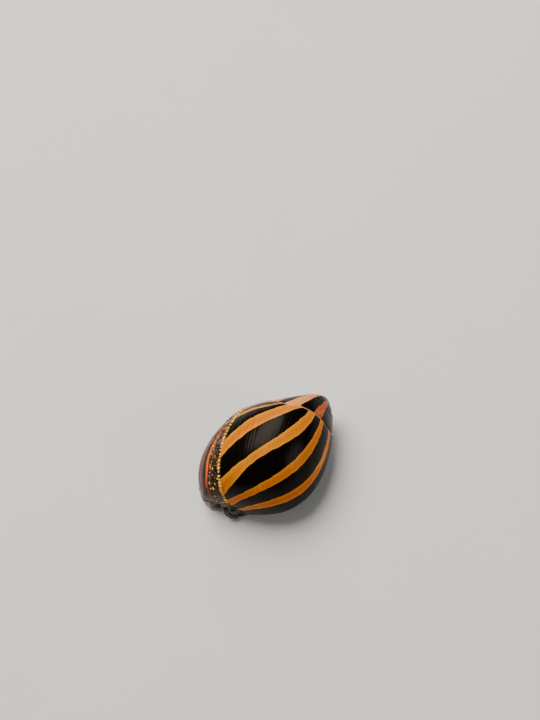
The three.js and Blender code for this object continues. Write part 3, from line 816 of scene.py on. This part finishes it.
class Shader:
    """A material whose nodes are added in short calls."""

    def __init__(self, name):
        self.material = bpy.data.materials.new(name)
        self.material.use_nodes = True
        self.nodes = self.material.node_tree.nodes
        self.links = self.material.node_tree.links
        self.main = self.nodes["Principled BSDF"]

    def fill(self, node, inputs):
        """Links an input to a node's output, or sets it to a plain value."""
        for key, value in inputs.items():
            if isinstance(value, bpy.types.NodeSocket):
                self.links.new(value, node.inputs[key])
            elif value is not None:
                node.inputs[key].default_value = value

    def node(self, kind, inputs, output=0, **settings):
        node = self.nodes.new("ShaderNode" + kind)
        for key, value in settings.items():
            setattr(node, key, value)
        self.fill(node, inputs)
        return node.outputs[output]

    def field(self, name):
        return self.node("Attribute", {}, "Fac", attribute_name=name)

    def math(self, operation, a, b=None, c=None):
        return self.node("Math", {0: a, 1: b, 2: c}, operation=operation)

    def times(self, a, b):
        return self.math("MULTIPLY", a, b)

    def plus(self, a, b):
        return self.math("ADD", a, b)

    def scaled(self, value, by, plus):
        return self.math("MULTIPLY_ADD", value, by, plus)

    def bell(self, value, width):
        """The same hump as the function of this name gives."""
        squared = self.math("POWER", self.math("ABSOLUTE", self.math("DIVIDE", value, width)), 2.0)
        return self.math("POWER", 2.71828, self.times(squared, -1.0))

    def step(self, value, low, high):
        inputs = {"Value": value, "From Min": low, "From Max": high}
        return self.node("MapRange", inputs, "Result", interpolation_type="SMOOTHSTEP")

    def place(self):
        return self.node("TexCoord", {}, "Object")

    def axis(self, name):
        """The place along one axis, in metres."""
        return self.node("SeparateXYZ", {"Vector": self.place()}, name)

    def flow(self, x, y):
        """A place made from two fields, for a noise that follows them."""
        return self.node("CombineXYZ", {"X": x, "Y": y})

    def noise(self, scale, detail=3.0, rough=0.5, where=None, warp=0.0):
        where = self.place() if where is None else where
        inputs = {"Vector": where, "Scale": scale, "Detail": detail, "Roughness": rough, "Distortion": warp}
        return self.node("TexNoise", inputs, "Fac")

    def cells(self, scale):
        return self.node("TexVoronoi", {"Vector": self.place(), "Scale": scale}, "Distance")

    def ramp(self, value, stops):
        node = self.nodes.new("ShaderNodeValToRGB")
        ramp = node.color_ramp
        while len(ramp.elements) < len(stops):
            ramp.elements.new(0.5)
        for element, (position, colour) in zip(ramp.elements, stops):
            element.position = position
            element.color = rgb(colour)
        self.fill(node, {0: value})
        return node.outputs["Color"]

    def mix(self, share, a, b):
        a, b = (rgb(colour) if isinstance(colour, str) else colour for colour in (a, b))
        return self.node("Mix", {0: share, 6: a, 7: b}, 2, data_type="RGBA")

    def paint(self, base, *layers):
        """The base with layers over it, each a colour, where it goes and, if not 1, how strong it is."""
        for colour, mask, *strength in layers:
            base = self.mix(self.times(mask, *strength) if strength else mask, base, colour)
        return base

    def bump(self, height, strength, distance, before=None):
        inputs = {"Strength": strength, "Distance": distance, "Height": height, "Normal": before}
        return self.node("Bump", inputs, "Normal")

    def set(self, **values):
        """Sets the surface's inputs: nodes are linked to it, and plain numbers stand on it."""
        self.fill(self.main, {key.replace("_", " "): value for key, value in values.items()})

    def give(self, obj):
        obj.data.materials.clear()
        obj.data.materials.append(self.material)


def rgb(text):
    """A linear colour from its usual six-digit form."""
    out = []
    for i in (0, 2, 4):
        v = int(text[i:i + 2], 16) / 255
        out.append(v / 12.92 if v <= 0.04045 else ((v + 0.055) / 1.055) ** 2.4)
    return (*out, 1.0)


class ShellLook(Shader):
    """The shell's material, in layers that share its fields and noises."""

    def __init__(self):
        super().__init__("nerite_shell")
        self.growth = self.field("growth")
        self.turn = self.field("turn")
        self.suture = self.field("suture")
        self.wobble = self.math("SUBTRACT", self.noise(750, 2), 0.5)
        self.fine = self.math("SUBTRACT", self.noise(3200, 2), 0.5)
        self.waver = self.plus(self.times(self.wobble, 0.34), self.times(self.fine, 0.06))
        self.lines = self.noise(2.6, 4, 0.7, self.flow(self.growth, self.times(self.turn, 0.012)))
        self.stripe = self.plus(self.field("stripe"), self.waver)
        self.gold = self.step(self.stripe, 0.02, 0.25)
        self.last = self.step(self.suture, -0.05, 0.1)
        # The oldest shell, at the apex, is worn dull.
        apex = tuple((APEX + SHIFT) * MM)
        away = self.node("VectorMath", {0: self.place(), 1: apex}, "Value", operation="DISTANCE")
        worn = self.plus(self.times(away, 1000), self.times(self.wobble, 2.4))
        self.worn = self.step(self.plus(worn, self.fine), 1.34, 0.86)

    def whorl(self):
        """Golden stripes with dark brown edges, deepened low on the left by painted shade, and the black
        between them.
        """
        across = self.scaled(self.stripe, 0.5, 0.5)
        yellow = self.ramp(across, [
            (0, "050202"), (0.44, "060302"), (0.475, "200802"), (0.50, "7a3004"), (0.522, "da902c"),
            (0.555, "da8800"), (0.66, "ce7a00"), (1, "c26800")])
        # A darker, deeper copy of the stripes' colours: painted shade for the lower left side, mixed in
        # below.
        shaded_yellow = self.ramp(across, [
            (0, "050202"), (0.44, "060302"), (0.475, "1c0702"), (0.50, "642202"), (0.522, "d0822c"),
            (0.555, "cc7200"), (0.66, "c06000"), (1, "b05000")])
        patches = self.noise(0.8, 2, 0.5, self.flow(self.growth, self.times(self.turn, 0.03)))
        black = self.step(self.stripe, -0.05, -0.4)
        return self.paint(
            self.mix(self.step(self.turn, 62, 28), yellow, shaded_yellow),
            ("e69a08", self.gold, self.step(self.lines, 0.54, 0.78)),
            ("9c4c04", self.gold, self.times(self.step(self.lines, 0.46, 0.28), 0.45)),
            ("eca230", self.gold, self.times(self.step(patches, 0.58, 0.75), 0.2)),
            ("2b1a12", black, self.times(self.step(self.lines, 0.5, 0.8), 0.5)))

    def spire(self):
        """Salmon rays, redder low on the left, with the thin line of an earlier suture."""
        ray = self.plus(self.field("ray"), self.times(self.waver, 1.2))
        salmon = self.paint(
            self.mix(self.step(self.turn, 104, 126), "e08c50", "c46c3c"),
            ("b44c18", self.step(self.turn, 90, 60)),
            ("dc8448", self.step(self.noise(1500, 3), 0.5, 0.7), 0.3),
            ("e8a068", self.step(self.lines, 0.54, 0.72), 0.35),
            ("a4441c", self.step(self.lines, 0.44, 0.28), 0.45))
        return self.paint(
            self.mix(self.step(ray, -0.03, 0.05), "080403", salmon),
            (self.mix(self.noise(2400, 3), "4a332a", "8a6654"), self.worn, 0.9),
            ("c47a58", self.bell(self.field("early"), 0.08), 0.4))

    def old_band(self):
        """The raised band of the old lip: black with brown and golden blotches, redder at the top, with
        mauve-pink blotches there as painted glints.
        """
        blotch = self.noise(1500, 3, 0.6)
        # On the top, the mauve-pink blotches are painted glints, and the red-orange patches are the band's
        # own colour.
        upper = self.paint(
            self.mix(self.step(blotch, 0.50, 0.62), "1c0d0a", "7c5654"),
            ("b04410", self.step(self.noise(1100, 2), 0.52, 0.60)))
        outline = self.bell(self.plus(self.growth, -FRESH_LIP - 0.12), 0.10)
        return self.paint(
            self.mix(self.step(blotch, 0.54, 0.62), "0c0705", "5a2008"),
            ("a8741c", self.step(self.noise(2700, 3, 0.6), 0.56, 0.66)),
            (upper, self.step(self.turn, 100, 116), 0.85),
            ("d08c18", self.times(outline, self.step(self.turn, 100, 110)), 0.8))

    def fresh_lip(self):
        """The fresh shell: bands of dark red, orange and black along its edge, golden on the far side."""
        leftward = self.plus(self.times(self.axis("X"), 1000), self.times(self.wobble, 0.5))
        slope = self.times(self.step(leftward, -2.2, -5.6), 0.8)
        swing = self.math("SUBTRACT", self.plus(self.growth, self.times(self.wobble, 0.18)), slope)
        swing = self.times(self.plus(swing, 8.4), 0.25)
        upper = self.ramp(swing, [
            (0, "180803"), (0.26, "260c04"), (0.38, "8c3606"), (0.48, "561a04"), (0.53, "060404"),
            (0.68, "060404"), (0.73, "4a1404"), (0.785, "b84404"), (0.83, "f07404"), (0.87, "e86800"),
            (0.905, "a83c04"), (0.94, "200803"), (1, "060302")])
        lower = self.ramp(swing, [
            (0, "160703"), (0.42, "300d03"), (0.54, "461404"), (0.64, "200803"), (0.76, "3a0f03"),
            (0.83, "802c04"), (0.865, "9c4408"), (0.90, "300c03"), (0.94, "060302"), (1, "050202")])
        dark_gold = self.mix(self.step(self.lines, 0.4, 0.6), "c07c14", "6a3c0c")
        far_side = self.mix(self.step(self.stripe, -0.15, 0.25), "1c0c06", dark_gold)
        return self.paint(
            self.mix(self.step(leftward, -1.6, 1.4), upper, lower),
            (far_side, self.step(leftward, -4.6, -6)),
            ("2a0f08", self.step(self.lines, 0.52, 0.74), 0.45),
            ("b06018", self.step(self.lines, 0.44, 0.30), 0.22))

    def build(self):
        # A pale line painted along the suture as a highlight on the whorl's edge, fading low on the left.
        suture_highlight = self.scaled(self.step(self.turn, 28, 46), 0.65, 0.2)
        in_band = self.times(self.last, self.step(self.growth, OLD_LIP + 0.02, OLD_LIP - 0.05))
        fresh = self.times(self.last, self.step(self.growth, FRESH_LIP + 0.06, FRESH_LIP - 0.04))
        rim = self.step(self.plus(self.field("rim"), self.times(self.fine, 0.16)), 0.14, 0.05)
        colour = self.paint(
            self.mix(self.step(self.suture, -0.04, 0.02), self.spire(), self.whorl()),
            ("eab08c", suture_highlight, self.bell(self.plus(self.suture, 0.03), 0.055)),
            (self.old_band(), in_band),
            (self.fresh_lip(), fresh),
            ("86786a", rim, 0.7),
            (self.mix(self.noise(500, 2), "c9c3b8", "e6e2dc"), self.field("inside")))
        rough = self.scaled(self.noise(900, 3), 0.12, 0.17)
        rough = self.plus(self.plus(rough, self.times(self.gold, 0.06)), self.times(self.worn, 0.3))
        normal = self.bump(self.noise(5200, 3), 0.12, 0.00003, self.bump(self.lines, 0.17, 0.00006))
        self.set(Base_Color=colour, Roughness=rough, Normal=normal)
        self.set(IOR=1.17, Specular_Tint=(1, 0.9, 0.76, 1))
        return self


def bead_material():
    m = Shader("ridge_beads")
    speck = m.noise(4200, 3)
    base = m.ramp(m.plus(m.field("tint"), m.times(m.math("SUBTRACT", speck, 0.5), 0.25)), [
        (0, "0a0504"), (0.2, "1c0d06"), (0.4, "6a3a0c"), (0.65, "c07c10"), (0.9, "e6a824"),
        (1, "f4cc74")])
    normal = m.bump(m.noise(6000, 2), 0.2, 0.00002)
    m.set(Base_Color=base, Roughness=m.scaled(speck, 0.15, 0.12), Normal=normal)
    m.set(IOR=1.4, Coat_Weight=0.08, Coat_Roughness=0.08)
    return m


def skin_material():
    """Mottled grey-brown flesh, nearly black on the tentacles and stalks, pale on the sole, with painted
    shade in the mouth slit.
    """
    m = Shader("snail_skin")
    mottle = m.noise(900, 4, 0.6)
    specks = m.cells(3800)
    blots = m.noise(2600, 3, 0.55, warp=0.4)
    base = m.paint(
        m.ramp(mottle, [(0.3, "3f3730"), (0.5, "6a5d52"), (0.7, "94867a")]),
        ("2a231e", m.step(blots, 0.56, 0.68), 0.75),
        ("c9bda8", m.step(specks, 0.22, 0.10), 0.55),
        ("a89f94", m.field("edge"), 0.55),
        ("3a2f28", m.field("head"), 0.55),
        (m.mix(m.step(m.noise(3000, 3), 0.5, 0.68), "17120f", "4a3a2c"), m.field("dark")),
        ("b3a797", m.field("sole"), 0.8),
        # Nearly black painted shade in the mouth's slit.
        ("1a100d", m.field("slit_shade"), 0.9),
        ("8a7060", m.field("lips"), 0.6))
    height = m.plus(m.times(m.noise(3600, 4, 0.6), 0.6), m.times(specks, 0.5))
    # Fine rings round the tentacles and fine crossways folds on the snout.
    stray = m.times(m.noise(1300, 2), 5)
    rings = m.math("SINE", m.plus(m.times(m.field("run"), 34), stray))
    folds = m.math("SINE", m.plus(m.times(m.axis("Y"), 24000), m.times(stray, 1.6)))
    height = m.plus(height, m.times(m.times(rings, m.field("dark")), 0.22))
    snout = m.times(m.field("head"), m.math("SUBTRACT", 1, m.field("dark")))
    height = m.plus(height, m.times(m.times(folds, snout), 0.22))
    m.set(Base_Color=base, Roughness=m.scaled(mottle, 0.2, 0.2), Normal=m.bump(height, 0.5, 0.00006),
          Subsurface_Weight=0.18, Subsurface_Radius=(1, 0.6, 0.4), Subsurface_Scale=0.0004,
          Coat_Weight=0.4, Coat_Roughness=0.15)
    return m


def eye_material():
    """A black eye with a faint brown ring round its front."""
    m = Shader("snail_eye")
    base = m.ramp(m.math("DIVIDE", m.field("polar"), 3.1416), [
        (0, "020203"), (0.16, "030304"), (0.21, "1a120c"), (0.3, "0a0807"), (1, "060505")])
    base = m.paint(base, ("241a12", m.step(m.noise(4000, 2), 0.55, 0.7), 0.3))
    m.set(Base_Color=base, Roughness=m.scaled(m.noise(2500, 2), 0.05, 0.06), Coat_Weight=1,
          Coat_Roughness=0.03)
    return m


def operculum_material():
    """Brown horn with fine growth rings."""
    m = Shader("operculum_horn")
    inputs = {"Vector": m.place(), "Scale": 900, "Distortion": 1.5}
    rings = m.node("TexWave", inputs, "Fac", wave_type="RINGS", rings_direction="SPHERICAL")
    patches = m.step(m.noise(800, 3), 0.45, 0.7)
    base = m.paint(m.mix(rings, "6b4c38", "8f6c50"), ("4a3326", patches))
    rough = m.scaled(m.noise(1500, 3), 0.2, 0.3)
    m.set(Base_Color=base, Roughness=rough, Normal=m.bump(rings, 0.3, 0.00004))
    return m


def floor_material():
    m = Shader("studio_floor")
    m.set(Base_Color=m.mix(m.noise(60, 3), "d9d6d0", "dedbd6"), Roughness=0.75)
    return m


shell = build_shell()
ShellLook().build().give(shell)
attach(shell, "root")
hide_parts("shell_spire", "shell_body_whorl", "shell_growth_ridge", "shell_lip")

beads = build_beads()
bead_material().give(beads)
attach(beads, "root")

skin = build_skin()
skin_material().give(skin)
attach(skin, "root")
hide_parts("foot", "head", "mantle_edge", "tentacle_left_base", "tentacle_left_tip",
            "tentacle_right_base", "tentacle_right_tip", "eyestalk_left", "eyestalk_right")

eye_look = eye_material()
EYES = (("left", LEFT_EYE, (0.9, -0.25, 0.45)), ("right", RIGHT_EYE, (-0.9, -0.3, 0.45)))
for name, centre, facing in EYES:
    eye = build_eye("eye_ball_" + name, centre, facing)
    eye_look.give(eye)
    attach(eye, "root")
    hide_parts("eye_" + name)

operculum_material().give(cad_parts["operculum"])

# A plain pale floor slab, with its top at z = 0.
FLOOR_HALF = 1200.0
FLOOR_THICKNESS = 6.0
corners = ((-1, -1), (1, -1), (1, 1), (-1, 1))
floor_points = [(x * FLOOR_HALF, y * FLOOR_HALF, -FLOOR_THICKNESS * i) for i in range(2) for x, y in corners]
floor_faces = [(0, 1, 2, 3), (7, 6, 5, 4), (0, 4, 5, 1), (1, 5, 6, 2), (2, 6, 7, 3), (3, 7, 4, 0)]
floor = to_object("studio_floor", floor_points, floor_faces)
floor_material().give(floor)

# The camera looks from the animal's left and well above, rolled so that the spire points up and right.
ELEVATION = math.radians(62)
ROLL = math.radians(27)
# One pixel of the photo in mm, its size, and where in it the snail's middle lies.
PIXEL = 0.16
PHOTO_WIDTH = 540
PHOTO_HEIGHT = 720
SNAIL_X = 277.0
SNAIL_Y = 472.7
SNAIL_MIDDLE = Vector((0.365, 0.04, 0.0))
DISTANCE = 500.0
SENSOR = 36.0
side = Vector((0, 1, 0))
back = Vector((math.cos(ELEVATION), 0, math.sin(ELEVATION)))
over = back.cross(side)
right = math.cos(ROLL) * side - math.sin(ROLL) * over
up = math.sin(ROLL) * side + math.cos(ROLL) * over
target = right * ((PHOTO_WIDTH / 2 - SNAIL_X) * PIXEL) + up * ((SNAIL_Y - PHOTO_HEIGHT / 2) * PIXEL)
target += SNAIL_MIDDLE
camera_data = bpy.data.cameras.new("camera")
camera_data.sensor_fit = "VERTICAL"
camera_data.sensor_height = SENSOR
camera_data.lens = SENSOR * DISTANCE / (PHOTO_HEIGHT * PIXEL)
camera_data.clip_start = 0.01
camera_data.clip_end = 10.0
camera = placed("camera", camera_data)
matrix = Matrix((right, up, back)).transposed().to_4x4()
matrix.translation = (target + back * DISTANCE) * MM
camera.matrix_world = matrix
bpy.context.scene.camera = camera


def soft_light(name, direction, distance, size, power, colour=(1, 1, 1)):
    data = bpy.data.lights.new(name, "AREA")
    data.shape = "DISK"
    data.size = size
    data.energy = power
    data.color = colour
    light = placed(name, data)
    direction = Vector(direction).normalized()
    light.location = direction * distance + Vector((0, 0, 0.006))
    light.rotation_euler = direction.to_track_quat("Z", "Y").to_euler()


soft_light("key", up * 0.9 - right * 0.5 + back * 0.75, 0.5, 0.42, 4.25, (1.0, 0.96, 0.9))
soft_light("fill", right * 0.9 + back * 0.8 - up * 0.2, 0.6, 0.4, 1.0, (0.95, 0.97, 1.0))
soft_light("rim", Vector((-0.8, 0.35, 0.5)), 0.5, 0.3, 0.5)
world = bpy.data.worlds.new("studio")
world.use_nodes = True
world.node_tree.nodes["Background"].inputs["Color"].default_value = (0.86, 0.88, 0.9, 1)
world.node_tree.nodes["Background"].inputs["Strength"].default_value = 0.2
bpy.context.scene.world = world
